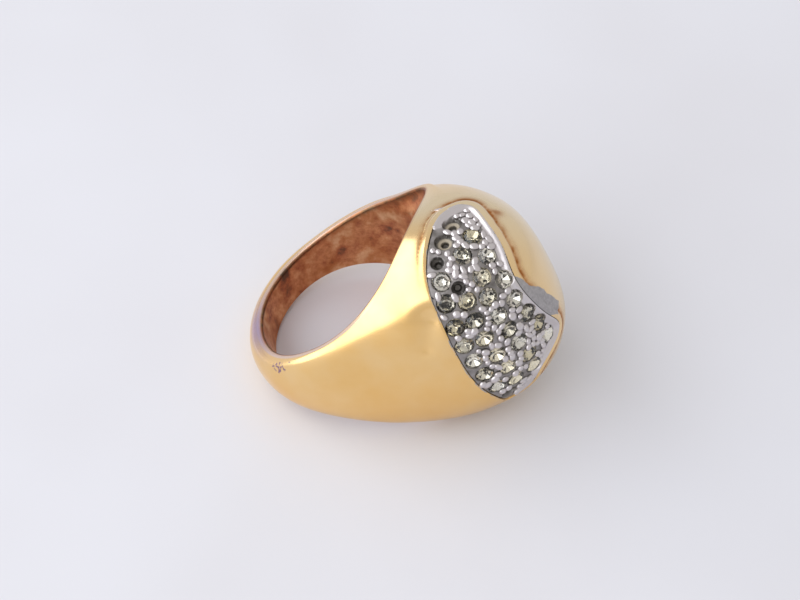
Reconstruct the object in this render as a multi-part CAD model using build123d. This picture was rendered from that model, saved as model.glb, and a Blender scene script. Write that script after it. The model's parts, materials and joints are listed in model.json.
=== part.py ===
"""Domed cocktail ring with a freeform pave inlay, lying on its side.

The ring is drawn in its own coordinates first: the finger axis is Z, the dome
rises along +X and Y runs across the dome. It is then laid over by the angle at
which it rests on a table, so +Z is up and the centre of the finger hole is the
origin. Lengths are millimetres and angles are degrees.
"""
from build123d import *
import os
from math import copysign, cos, pi, radians, sin

# ---- Band and dome ---------------------------------------------------------
FINGER_DIAMETER = 17.3      # inside size of the band
SHANK_THICKNESS = 1.6       # wall at the back of the band
SHANK_WIDTH = 3.4           # along the finger, at the back of the band
DOME_THICKNESS = 10.0       # from the finger hole to the top of the dome
DOME_WIDTH = 18.6           # along the finger, at the middle of the dome
DOME_SHARPNESS = 7.6        # how fast the dome falls away round the finger
FLARE_SHARPNESS = 1.76      # how fast the band narrows round the finger
DOME_FULLNESS = 0.80        # below 1 the cross-section is boxier than an ellipse
SHANK_FULLNESS = 0.96
EDGE_THICKNESS = 0.5        # flat edge on each side of the band
EDGE_BREAK = 0.2            # rubbed-off corner where that edge meets the finger
CAST_OUT_WALL = 2.5         # metal left over the hollow under the dome
CAST_OUT_SPREAD = 34        # half angle of that hollow, seen along the finger

# ---- Inlay -----------------------------------------------------------------
# The inlay's outline lies on a flat map that faces the front of the dome. A
# point of the map and the apex give a line, and the outline is carried along
# those lines on to the dome, so that its walls stand nearly square to the skin.
MAP_APEX = Vector(4, 0, 0)
MAP_FACING = Vector(0.95, -0.30, 0.15)
MAP_DISTANCE = 11.0
PLATE_RECESS = 0.25         # the plate's face lies this far under the gold skin
PLATE_THICKNESS = 1.3
JOINT_GAP = 0.03            # solder line round the plate
OUTLINE = [
    (5.2, 11.2), (2.3, 11.2), (-0.9, 9.8), (-3.5, 7.4), (-4.9, 3.8), (-5.5, -0.6),
    (-5.2, -5.0), (-4.0, -8.2), (-2.4, -10.4), (-0.8, -9.4), (0.0, -7.0), (1.4, -5.3),
    (2.9, -4.3), (2.3, -2.6), (1.4, -0.4), (1.3, 2.2), (2.6, 4.2), (4.4, 6.4), (6.6, 9.4),
]

# ---- Stones ----------------------------------------------------------------
STONE_DIAMETER = 1.6
STONE_TABLE = 0.9           # across the flat top
STONE_CROWN = 0.32          # girdle to table
STONE_PAVILION = 0.68       # girdle to point
STONE_GIRDLE = 0.06         # height of the round rim
STONE_FACETS = 8
STONE_LIFT = 0.12           # the table stands this far over the plate's face
SEAT_CLEARANCE = 0.03
DRILL_DIAMETER = 0.6        # hole under each stone, through the plate
# Columns of seats run down the inlay. Each one follows a smooth line through
# these map points and is divided evenly into seats.
COLUMNS = [
    (10, [(3.8, 8.9), (-0.8, 8.1), (-3.5, 4.8), (-4.4, 0.4), (-4.2, -3.6), (-3.7, -5.8)]),
    (10, [(2.3, 6.7), (-0.4, 6.0), (-2.0, 4.0), (-2.8, 0.6), (-2.4, -3.2), (-2.2, -8.3)]),
    (8, [(1.3, 4.7), (-0.3, 3.9), (-1.1, 1.4), (-0.9, -1.6), (-0.3, -5.6)]),
    (5, [(0.7, 2.6), (0.4, 1.2), (0.8, -1.0), (1.6, -3.8)]),
]
EMPTY_SEATS = [(0, 0), (0, 1), (0, 2), (1, 2), (1, 9)]    # (column, seat) that lost its stone

FINGER_RADIUS = FINGER_DIAMETER / 2


# ---- Outer skin ------------------------------------------------------------
def dome_share(turn, sharpness):
    """1 at the middle of the dome, falling to 0 at the back of the band."""
    return ((1 + cos(turn)) / 2) ** sharpness


def skin_point(turn, tip, inset=0.0):
    """A point of the skin: turn goes round the finger, tip goes from edge to edge."""
    height = SHANK_THICKNESS + (DOME_THICKNESS - SHANK_THICKNESS) * dome_share(turn, DOME_SHARPNESS)
    flare = dome_share(turn, FLARE_SHARPNESS)
    half_width = (SHANK_WIDTH + (DOME_WIDTH - SHANK_WIDTH) * flare) / 2 - inset
    fullness = SHANK_FULLNESS + (DOME_FULLNESS - SHANK_FULLNESS) * flare
    along = half_width * copysign(abs(sin(tip)) ** fullness, tip)
    rise = height - EDGE_THICKNESS - inset
    radius = FINGER_RADIUS + EDGE_THICKNESS + rise * abs(cos(tip)) ** fullness
    return Vector(radius * cos(turn), radius * sin(turn), along)


def band_section(turn, inset=0.0):
    """Closed cross-section of the band, running on down past the finger hole."""
    steps = 14
    crown = [skin_point(turn, -pi / 2 + pi * i / steps, inset) for i in range(steps + 1)]
    outward = Vector(cos(turn), sin(turn), 0)
    half_width = crown[-1].Z
    heel = half_width - EDGE_BREAK
    side = [
        outward * (FINGER_RADIUS + EDGE_BREAK) + Vector(0, 0, half_width),
        outward * FINGER_RADIUS + Vector(0, 0, heel),
        outward * (FINGER_RADIUS - 1) + Vector(0, 0, heel),
    ]
    mirrored = [Vector(p.X, p.Y, -p.Z) for p in reversed(side)]
    rest = Polyline(crown[-1], *side, *mirrored, crown[0])
    return Wire([Spline(*crown), *rest.edges()])


def band_stretch(turns, inset=0.0):
    """Solid stretch of the band through the cross-sections at the given angles."""
    return Solid.make_loft([band_section(radians(turn), inset) for turn in turns])


def make_blank():
    """The casting before the inlay's pocket and the hollow are cut."""
    front = band_stretch([-90, -84, -74, -62, -50, -40, -30, -20, -10, 0,
                          10, 20, 30, 40, 50, 62, 74, 84, 90])
    back = band_stretch([90, 96, 108, 124, 142, 160, 180, 200, 218, 236, 252, 264, 270])
    finger = Cylinder(FINGER_RADIUS, DOME_WIDTH * 2)
    return front + back - finger


# ---- Inlay map -------------------------------------------------------------
MAP_NORMAL = MAP_FACING.normalized()
MAP_UP = (Vector(0, 0, 1) - MAP_NORMAL * MAP_NORMAL.Z).normalized()
MAP_RIGHT = MAP_UP.cross(MAP_NORMAL)


def map_plane(distance):
    """Plane of the map, moved to a distance from its apex."""
    return Plane(MAP_APEX + MAP_NORMAL * distance, x_dir=MAP_RIGHT, z_dir=MAP_NORMAL)


def inlay_outline(shrink=0.0):
    """Face inside the outline on the flat map."""
    outline = make_face(Spline(*OUTLINE, periodic=True))
    return offset(outline, amount=-shrink) if shrink else outline


def inlay_core(shrink=0.0):
    """Flaring prism from the map's apex through the outline and out past the dome."""
    outline = inlay_outline(shrink)
    wires = []
    for distance in (3.0, 20.0):
        scaled = scale(outline, by=distance / MAP_DISTANCE)
        wires.append((map_plane(distance) * scaled.face()).outer_wire())
    return Solid.make_loft(wires, ruled=True)


def under_skin(inset):
    """Everything of the dome that lies deeper than the inset."""
    return band_stretch([-50, -42, -34, -26, -18, -10, -3, 3, 10, 18, 26, 34, 42, 50], inset)


# ---- Pieces ----------------------------------------------------------------
def make_ring_body(core, bed):
    """Gold-plated casting with the inlay's pocket and the hollow under the dome."""
    spread = CAST_OUT_SPREAD
    cast_out = band_stretch([-spread, -0.7 * spread, -0.35 * spread, 0,
                             0.35 * spread, 0.7 * spread, spread], CAST_OUT_WALL)
    return make_blank() - (core - bed) - cast_out


def seat_points(face_skin):
    """Place and outward direction of every seat, as {(column, seat): (point, normal)}."""
    seats = {}
    for column, (count, guide) in enumerate(COLUMNS):
        line = map_plane(MAP_DISTANCE) * Spline(*guide)
        samples = 60
        track = []
        for i in range(samples + 1):
            ray = Axis(MAP_APEX, line.position_at(i / samples) - MAP_APEX)
            track.append(max(face_skin.find_intersection_points(ray),
                             key=lambda hit: (hit[0] - MAP_APEX).dot(ray.direction)))
        run = [0.0]
        for (start, _), (end, _) in zip(track, track[1:]):
            run.append(run[-1] + (end - start).length)
        for seat in range(count):
            goal = run[-1] * seat / (count - 1)
            seats[column, seat] = track[min(range(samples + 1), key=lambda i: abs(run[i] - goal))]
    return seats


def seat_plane(place):
    """Plane at a seat's girdle, facing out of the dome."""
    point, normal = place
    return Plane(point + normal * (STONE_LIFT - STONE_CROWN), z_dir=normal)


def make_stone():
    """Foil-backed chaton: a round girdle under eight crown facets, over eight pavilion facets."""
    radius = STONE_DIAMETER / 2
    corner = radius / cos(pi / STONE_FACETS)
    table = RegularPolygon(STONE_TABLE / 2, STONE_FACETS, major_radius=False)
    girdle = RegularPolygon(corner, STONE_FACETS)
    crown = loft([girdle, Pos(0, 0, STONE_CROWN) * table], ruled=True)
    rim = extrude(girdle, -STONE_GIRDLE)
    culet = Pos(0, 0, -STONE_PAVILION) * scale(girdle, by=0.04)
    pavilion = loft([Pos(0, 0, -STONE_GIRDLE) * girdle, culet], ruled=True)
    return (crown + rim + pavilion) & Cylinder(radius, 4 * STONE_PAVILION)


def make_seat():
    """Cutter for one seat: a stone's room, open outwards, with the drilled hole under it."""
    radius = STONE_DIAMETER / 2 + SEAT_CLEARANCE
    slope = STONE_PAVILION / (STONE_DIAMETER / 2)
    drill = DRILL_DIAMETER / 2
    depth = (radius - drill) * slope
    floor = -STONE_GIRDLE - SEAT_CLEARANCE
    profile = Polyline((0, 1.5), (radius, 1.5), (radius, floor), (drill, floor - depth),
                       (drill, -4 * STONE_PAVILION), (0, -4 * STONE_PAVILION), close=True)
    return revolve(make_face(Plane.XZ * profile), Axis.Z)


def make_plate(core, bed, face_skin, seats):
    """Rhodium-plated pave plate with its seats."""
    seat = make_seat()
    cutters = [seat_plane(place) * seat for place in seats.values()]
    return (face_skin & core) - bed - cutters


# ---- Resting angle ---------------------------------------------------------
def lowest_point(turns, tilt):
    """Lowest height of the band's lower edge over a range of angles round the finger."""
    heights = []
    for turn in turns:
        edge = skin_point(radians(turn), -pi / 2)
        heights.append(edge.X * sin(tilt) + edge.Z * cos(tilt))
    return min(heights)


def resting_tilt():
    """Tilt at which the dome and the back of the band touch the table together."""
    low, high = 0.1, 0.8
    for _ in range(30):
        tilt = (low + high) / 2
        if lowest_point(range(-60, 61), tilt) < lowest_point(range(120, 241), tilt):
            low = tilt
        else:
            high = tilt
    return tilt * 180 / pi


def main():
    """Make every piece, lay the ring on its side and write one STEP file per piece."""
    bed = under_skin(PLATE_RECESS + PLATE_THICKNESS)
    face_skin = under_skin(PLATE_RECESS)
    seats = seat_points(face_skin)
    pieces = {
        "ring_body": make_ring_body(inlay_core(), bed),
        "pave_plate": make_plate(inlay_core(JOINT_GAP), bed, face_skin, seats),
    }
    stone = make_stone()
    set_seats = [place for key, place in seats.items() if key not in EMPTY_SEATS]
    for number, place in enumerate(set_seats, 1):
        pieces[f"stone_{number:02d}"] = seat_plane(place) * stone
    lying = Rot(0, -resting_tilt(), 0)
    os.makedirs("parts", exist_ok=True)
    for name, piece in pieces.items():
        export_step(lying * piece, f"parts/{name}.step")
    print("resting tilt", round(resting_tilt(), 2), "stones", len(set_seats))


main()
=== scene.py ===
"""Domed cocktail ring with a pave inlay, dressed around its packed model."""

import json
import math
from contextlib import contextmanager
from random import Random

import bmesh
import bpy
import numpy as np
from mathutils import Matrix, Vector, noise
from mathutils.bvhtree import BVHTree
from mathutils.kdtree import KDTree


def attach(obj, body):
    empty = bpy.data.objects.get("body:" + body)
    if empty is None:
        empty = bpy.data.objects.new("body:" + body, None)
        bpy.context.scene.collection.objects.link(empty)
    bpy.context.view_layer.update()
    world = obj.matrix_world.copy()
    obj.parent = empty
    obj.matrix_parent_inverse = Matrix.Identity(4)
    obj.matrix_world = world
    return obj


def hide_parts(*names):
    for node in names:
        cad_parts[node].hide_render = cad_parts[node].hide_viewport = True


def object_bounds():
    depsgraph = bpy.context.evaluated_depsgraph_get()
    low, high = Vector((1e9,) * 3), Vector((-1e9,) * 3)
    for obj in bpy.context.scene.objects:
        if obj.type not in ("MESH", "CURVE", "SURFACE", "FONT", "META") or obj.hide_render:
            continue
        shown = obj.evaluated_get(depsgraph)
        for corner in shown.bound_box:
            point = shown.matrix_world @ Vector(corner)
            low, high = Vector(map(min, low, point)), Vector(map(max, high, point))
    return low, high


bl_info = {
    "name": "Cocktail Ring",
    "version": (1, 0, 0),
    "blender": (4, 5, 0),
    "location": "3D View > Sidebar > Ring",
    "description": "Builds a domed, gold-plated ring with a recessed pave inlay",
    "category": "Add Mesh",
}

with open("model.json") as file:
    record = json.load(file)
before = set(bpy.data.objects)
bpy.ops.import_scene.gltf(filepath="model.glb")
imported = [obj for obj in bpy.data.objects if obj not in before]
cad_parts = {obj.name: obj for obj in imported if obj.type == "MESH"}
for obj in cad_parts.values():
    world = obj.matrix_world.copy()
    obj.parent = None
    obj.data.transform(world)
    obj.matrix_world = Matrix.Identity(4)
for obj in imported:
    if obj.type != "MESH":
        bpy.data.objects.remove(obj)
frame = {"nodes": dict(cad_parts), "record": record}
CAD_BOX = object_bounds()
MM = 0.001
BODY = "root"

FINGER_HOLE = next(m for m in frame["record"]["mounts"] if m["name"] == "finger_hole")
FINGER_AXIS = Vector(FINGER_HOLE["axis"])
TILT = math.atan2(-FINGER_AXIS.x, FINGER_AXIS.z)
TO_ROW = Matrix.Rotation(-TILT, 3, "Y")     # from the ring's own axes to the frame's
STONE_NODES = sorted(name for name in frame["nodes"] if name.startswith("stone"))

# The inlay's outline lies on a flat map in front of the dome, as in the CAD model.
MAP_APEX = Vector((4, 0, 0)) * MM
MAP_NORMAL = Vector((0.95, -0.30, 0.15)).normalized()
MAP_UP = (Vector((0, 0, 1)) - MAP_NORMAL * MAP_NORMAL.z).normalized()
MAP_RIGHT = MAP_UP.cross(MAP_NORMAL)
MAP_DISTANCE = 11 * MM
OUTSIDE = 40                                # millimetres from the apex, further out than the dome
OUTLINE = [
    (5.2, 11.2), (2.3, 11.2), (-0.9, 9.8), (-3.5, 7.4), (-4.9, 3.8), (-5.5, -0.6),
    (-5.2, -5.0), (-4.0, -8.2), (-2.4, -10.4), (-0.8, -9.4), (0.0, -7.0), (1.4, -5.3),
    (2.9, -4.3), (2.3, -2.6), (1.4, -0.4), (1.3, 2.2), (2.6, 4.2), (4.4, 6.4), (6.6, 9.4),
]
RIM_SAMPLES = 3000
POCKET_ROOM = 0.12                          # gap under the plate, in millimetres
SEAT_MOUTH = 0.86                           # radius of a stone's drilled seat, in millimetres
# Seats that have lost their stones: place on the map, mouth radius and well radius in millimetres.
EMPTY_SEATS = [
    ((3.2, 9.4), 0.88, 0.40), ((0.72, 8.85), 0.88, 0.40), ((-1.55, 8.0), 0.60, 0.36),
    ((-2.05, 4.85), 0.62, 0.40), ((-2.8, -8.2), 0.78, 0.46),
]
# Rhodium that ran over the gold on the inlay's right, as an outline on the map in millimetres.
OVERRUN = [(1.3, 2.2), (1.75, 0.7), (2.4, -0.1), (3.3, -2.0), (3.6, -2.6), (3.0, -3.0), (1.6, -1.9),
           (1.1, -0.7), (0.9, 1.0)]
# Knock on the left of the inlay: its two ends in the ring's own axes, in millimetres.
KNOCK = ((11.1, -7.6, 5.4), (10.2, -8.6, 3.4))
BROWN_PATCH = (6.0, 5.85)                        # brown patch on the gold right of the inlay, on the map in millimetres
BAND_SIZES = ("Finger Radius", "Shank Thickness", "Dome Thickness", "Dome Sharpness",
              "Flare Sharpness", "Shank Fullness", "Dome Fullness", "Edge Thickness", "Edge Rounding")
SHEET_LINES = 300, 150                      # round the finger, and across the crown
BEADS_PER_M2 = 9.0e7                        # before the ones that are too close are dropped
RHODIUM = "rhodium_plate_cast_beaded"
WINDOW_PLACE = Vector((-0.46, -0.245, 0.30))    # centre and size of the soft light, in metres
WINDOW_SIZE = 1.42, 0.69
TABLE_HALF = 0.6
DOME_CROWDING = 0.35                        # below 1 the sheet's lines crowd together on the dome


# ---------------------------------------------------------------- properties
def length(name, millimetres, description):
    """Length property with its default given in millimetres."""
    return bpy.props.FloatProperty(
        name=name, description=description, default=millimetres * MM, min=0, precision=5, unit="LENGTH")


def share(name, default, description):
    """Number between 0 and 1."""
    return bpy.props.FloatProperty(
        name=name, description=description, default=default, min=0, max=1, subtype="FACTOR")


def number(name, default, description):
    """Plain number."""
    return bpy.props.FloatProperty(name=name, description=description, default=default)


def angle(name, degrees, description):
    """Angle property with its default given in degrees."""
    return bpy.props.FloatProperty(
        name=name, description=description, default=math.radians(degrees), subtype="ANGLE")


def linear(hex_colour):
    """sRGB hex colour as a linear RGBA tuple."""
    channels = [int(hex_colour[i:i + 2], 16) / 255 for i in (1, 3, 5)]
    return tuple(c / 12.92 if c <= 0.04045 else ((c + 0.055) / 1.055) ** 2.4 for c in channels) + (1.0,)


def colour(name, hex_colour, description):
    """Colour property with its default given as sRGB hex."""
    return bpy.props.FloatVectorProperty(
        name=name, description=description, default=linear(hex_colour), size=4, min=0, max=1,
        subtype="COLOR")


class RingShape(bpy.types.PropertyGroup):
    """Sizes of the casting."""
    finger_radius: length("Finger radius", FINGER_HOLE["dims"]["r_mm"], "Inside radius of the band")
    shank_thickness: length("Shank thickness", 1.6, "Wall at the back of the band")
    shank_width: length("Shank width", 3.4, "Band's width at its back, along the finger")
    dome_thickness: length("Dome thickness", 10.0, "From the finger hole to the top of the dome")
    dome_width: length("Dome width", 18.6, "Dome's width, along the finger")
    dome_sharpness: number("Dome sharpness", 7.6, "How fast the dome falls away round the finger")
    flare_sharpness: number("Flare sharpness", 1.76, "How fast the band narrows round the finger")
    shank_fullness: share("Shank fullness", 0.96, "Below 1 the cross-section is boxier")
    dome_fullness: share("Dome fullness", 0.80, "Below 1 the cross-section is boxier")
    edge_thickness: length("Edge thickness", 0.5, "Height of the band's flat edge")
    edge_rounding: length("Edge rounding", 0.25, "Rubbed-off corner inside the band's edge")
    hollow_wall: length("Hollow wall", 3.5, "Metal left over the hollow under the dome")
    hollow_spread: angle("Hollow spread", 34, "Half angle of the hollow, seen along the finger")
    wobble: length("Wobble", 0.05, "Unevenness that hand polishing leaves")


class InlaySizes(bpy.types.PropertyGroup):
    """Sizes of the pave plate, its beads and its stones."""
    recess: length("Recess", 0.25, "Depth of the plate's face under the gold skin")
    recess_slope: length("Recess slope", 0.10, "Deeper by this on the right and shallower on the left")
    plate_thickness: length("Plate thickness", 1.2, "Thickness of the pave plate")
    joint: length("Joint", 0.05, "Gap between the plate and the gold wall")
    stone_diameter: length("Stone diameter", 1.6, "Across a stone's girdle")
    table_width: length("Table width", 0.9, "Across a stone's flat top")
    crown_height: length("Crown height", 0.32, "Girdle to table")
    pavilion_depth: length("Pavilion depth", 0.42, "Girdle to point")
    girdle_height: length("Girdle height", 0.06, "Height of a stone's rim")
    stone_lift: length("Stone lift", 0.19, "Height of a stone's table over the plate's face")
    bead_diameter: length("Bead diameter", 0.74, "Across one raised bead")
    bead_height: length("Bead height", 0.28, "Height of a bead over the plate")
    bead_spacing: length("Bead spacing", 0.48, "Least distance between two beads")
    bead_seed: bpy.props.IntProperty(name="Bead seed", description="Picks the beads' places", default=3)


class RingColours(bpy.types.PropertyGroup):
    """Colours of the metals, the stones and the stage."""
    gold: colour("Gold", "#F4D39C", "Gold plate")
    copper: colour("Copper", "#B5713F", "Bare copper alloy inside the band")
    rhodium: colour("Rhodium", "#D2CCCC", "Rhodium plate on the inlay")
    glass: colour("Glass", "#FBFAF2", "Stones")
    floor: colour("Floor", "#D6D5D9", "Table top")


class StageSettings(bpy.types.PropertyGroup):
    """Camera and light."""
    azimuth: angle("Azimuth", 15.3, "Camera's turn round the ring")
    elevation: angle("Elevation", 49.7, "Camera's height over the table")
    distance: length("Distance", 215.6, "Camera to the centre of the finger hole")
    lens: number("Lens", 109.3, "Focal length in millimetres")
    shift_x: number("Shift X", 0.051, "Sideways framing")
    shift_y: number("Shift Y", 0.009, "Vertical framing")
    key_power: number("Key power", 6.4, "Power of the large soft light, in watts")
    sky_strength: number("Sky strength", 0.78, "Strength of the surrounding light")


# -------------------------------------------------------------------- helpers
def add(tree, kind, links=None, **settings):
    """Adds a node, sets its properties and fills its inputs with values, sockets or nodes."""
    made = tree.nodes.new(kind)
    for name, value in settings.items():
        setattr(made, name, value)
    for key, value in (links or {}).items():
        if isinstance(value, bpy.types.Node):
            value = next(socket for socket in value.outputs if socket.enabled)
        if isinstance(value, bpy.types.NodeSocket):
            tree.links.new(value, made.inputs[key])
        else:
            made.inputs[key].default_value = value
    return made


def follow(tree, known, steps):
    """Adds the node of each step and keeps it under the step's name.

    A step is a name, an operation and its terms: numbers, colours and names of what is known.
    RANGE takes a value, its limits and the limits it is mapped to. MIX takes a share, the colour
    at 0 and the colour at 1. Any other operation is that of a Math node.
    """
    for name, operation, *terms in steps:
        terms = [(linear(term) if term[0] == "#" else known[term]) if isinstance(term, str) else term
                 for term in terms]
        if operation == "RANGE":
            known[name] = add(tree, "ShaderNodeMapRange", dict(enumerate(terms)))
        elif operation == "MIX":
            known[name] = add(tree, "ShaderNodeMix", dict(zip((0, 6, 7), terms)), data_type="RGBA")
        else:
            known[name] = add(tree, "ShaderNodeMath", dict(enumerate(terms)), operation=operation)


def geometry_tree(name, sockets):
    """Empty Geometry Nodes tree with named inputs, as (tree, group input)."""
    tree = bpy.data.node_groups.new(name, "GeometryNodeTree")
    tree.interface.new_socket("Geometry", in_out="INPUT", socket_type="NodeSocketGeometry")
    for label, kind in sockets.items():
        tree.interface.new_socket(label, in_out="INPUT", socket_type="NodeSocket" + kind)
    tree.interface.new_socket("Geometry", in_out="OUTPUT", socket_type="NodeSocketGeometry")
    return tree, add(tree, "NodeGroupInput")


def finish_tree(tree, geometry, material):
    """Ends a Geometry Nodes tree with Realize Instances and Set Material."""
    real = add(tree, "GeometryNodeRealizeInstances", {0: geometry})
    done = add(tree, "GeometryNodeSetMaterial", {0: real, "Material": material})
    add(tree, "NodeGroupOutput", {0: done})
    return tree


def grown(source, tree, values, name):
    """Plain mesh that a Geometry Nodes tree makes of a source mesh."""
    holder = bpy.data.objects.new(name, source)
    bpy.context.scene.collection.objects.link(holder)
    modifier = holder.modifiers.new(name, "NODES")
    modifier.node_group = tree
    for item in tree.interface.items_tree:
        if item.in_out == "INPUT" and item.name in values:
            modifier[item.identifier] = values[item.name]
    graph = bpy.context.evaluated_depsgraph_get()
    mesh = bpy.data.meshes.new_from_object(holder.evaluated_get(graph), depsgraph=graph)
    bpy.data.objects.remove(holder)
    mesh.name = name
    return mesh


def place(name, mesh, slot, *nodes):
    """Links a finished mesh as a piece that rides on the ring and stands for CAD nodes."""
    piece = bpy.data.objects.new(name, mesh)
    bpy.context.scene.collection.objects.link(piece)
    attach(piece, BODY)
    if nodes:
        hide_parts(*nodes)
    return piece


def coordinates(mesh):
    """Vertex coordinates as an array."""
    found = np.zeros(len(mesh.vertices) * 3)
    mesh.vertices.foreach_get("co", found)
    return found.reshape(-1, 3)


def store(mesh, name, values):
    """Writes a number for each vertex."""
    attribute = mesh.attributes.get(name) or mesh.attributes.new(name, "FLOAT", "POINT")
    attribute.data.foreach_set("value", np.asarray(values, np.float32))


def read(mesh, name):
    """Reads a number for each vertex."""
    found = np.zeros(len(mesh.vertices))
    mesh.attributes[name].data.foreach_get("value", found)
    return found


@contextmanager
def edited(mesh):
    """The mesh open for editing. What was done to it is written back at the end."""
    work = bmesh.new()
    work.from_mesh(mesh)
    yield work
    work.to_mesh(mesh)
    work.free()


def smoothstep(low, high, value):
    """0 below low, 1 above high and a smooth rise between."""
    t = np.clip((value - low) / (high - low), 0, 1)
    return t * t * (3 - 2 * t)


def bump(centre, width, value):
    """1 at the centre, falling away smoothly on both sides."""
    return np.exp(-((value - centre) / width) ** 2)


def lumps(spots, wavelength, seed):
    """Smooth random value from -1 to 1 at each place."""
    return np.array([noise.noise(Vector(s) / wavelength + Vector((seed, 0, 0))) for s in spots])


def closed_spline(points, samples):
    """Smooth closed curve through points, as an array of evenly spaced samples."""
    p = np.array(points, float)
    n = len(p)
    step = np.linalg.norm(np.roll(p, -1, 0) - p, axis=1)
    slope = (np.roll(p, -1, 0) - p) / step[:, None]
    system = np.zeros((n, n))
    for i in range(n):
        system[i, i - 1] = step[i - 1]
        system[i, i] = 2 * (step[i - 1] + step[i])
        system[i, (i + 1) % n] = step[i]
    bend = np.linalg.solve(system, 6 * (slope - np.roll(slope, 1, 0)))
    knots = np.concatenate([[0], np.cumsum(step)])
    found = []
    for s in np.linspace(0, knots[-1], samples, endpoint=False):
        i = min(int(np.searchsorted(knots, s, side="right")) - 1, n - 1)
        j = (i + 1) % n
        h, a, b = step[i], knots[i + 1] - s, s - knots[i]
        found.append((bend[i] * a**3 + bend[j] * b**3) / (6 * h)
                     + (p[i] / h - bend[i] * h / 6) * a + (p[j] / h - bend[j] * h / 6) * b)
    return np.array(found)


def inside(points, polygon):
    """True for each point of the map that lies inside a closed polygon."""
    x, y = points[:, 0], points[:, 1]
    result = np.zeros(len(points), bool)
    for (x0, y0), (x1, y1) in zip(polygon, np.roll(polygon, -1, 0)):
        if y0 != y1:
            result ^= ((y0 > y) != (y1 > y)) & (x < (x1 - x0) * (y - y0) / (y1 - y0) + x0)
    return result


def from_line(points, start, end):
    """Distance of each point from a straight line with two ends."""
    along = np.clip((points - start) @ (end - start) / np.sum((end - start) ** 2), 0, 1)
    return np.linalg.norm(points - start - along[:, None] * (end - start), axis=1)


def beyond(points, corners):
    """Distance of each point of the map from a polygon, negative inside it."""
    sides = zip(np.array(corners), np.roll(corners, -1, 0))
    away = np.min([from_line(points, start, end) for start, end in sides], axis=0)
    return np.where(inside(points, np.array(corners)), -away, away)


# ------------------------------------------------------------- the ring's skin
APEX, NORMAL, UP, RIGHT = (TO_ROW @ v for v in (MAP_APEX, MAP_NORMAL, MAP_UP, MAP_RIGHT))


def on_map(spots):
    """Map coordinates, in millimetres, of places in the row frame."""
    away = spots - np.array(APEX)
    flat = np.stack([away @ np.array(RIGHT), away @ np.array(UP)], 1)
    return flat / (away @ np.array(NORMAL))[:, None] * (MAP_DISTANCE / MM)


def in_front(spots):
    """True for places that are clearly in front of the apex, as all of the inlay is."""
    return (spots - np.array(APEX)) @ np.array(NORMAL) > 2 * MM


def on_skin(skin, point):
    """Place and outward normal where the line from the apex through a map point leaves the skin."""
    toward = (NORMAL * MAP_DISTANCE + (RIGHT * float(point[0]) + UP * float(point[1])) * MM).normalized()
    return skin.ray_cast(APEX + toward * OUTSIDE * MM, -toward)[:2]


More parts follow.
